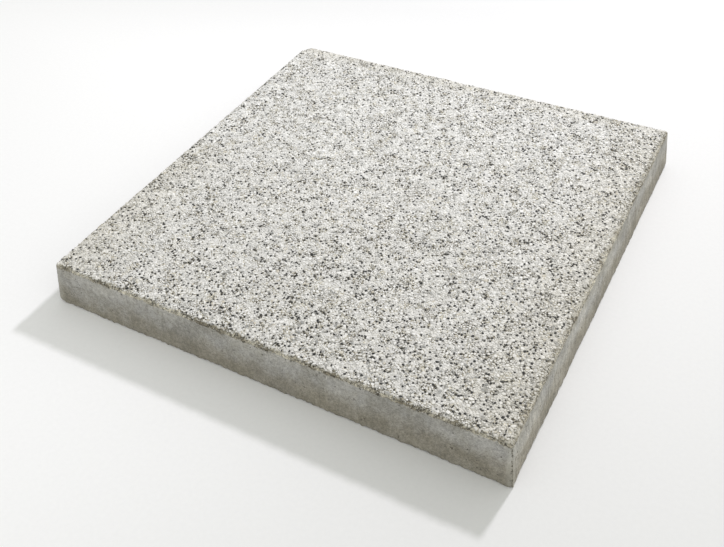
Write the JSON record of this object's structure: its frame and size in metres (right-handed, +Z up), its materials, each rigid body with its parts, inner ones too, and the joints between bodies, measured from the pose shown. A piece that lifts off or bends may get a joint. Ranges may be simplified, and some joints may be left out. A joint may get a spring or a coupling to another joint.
{
  "type": "concrete paving slab",
  "caption": "Square concrete paving slab with an exposed aggregate walking face, tapered sides, worn arrises and a knocked off back corner, lying face up",
  "frame": {"origin": "middle of the foot, the underside that rests on the bedding, measured over its box", "axes": "+Z up through the walking face; +X along the left front side from the left corner to the front corner of the picture; +Y from the front corner to the right corner"},
  "size_m": [0.5, 0.5, 0.05],
  "materials": {
    "concrete": "matte",
    "aggregate": "matte"
  },
  "bodies": {
    "root": {"paving_slab": "concrete"}
  },
  "joints": []
}
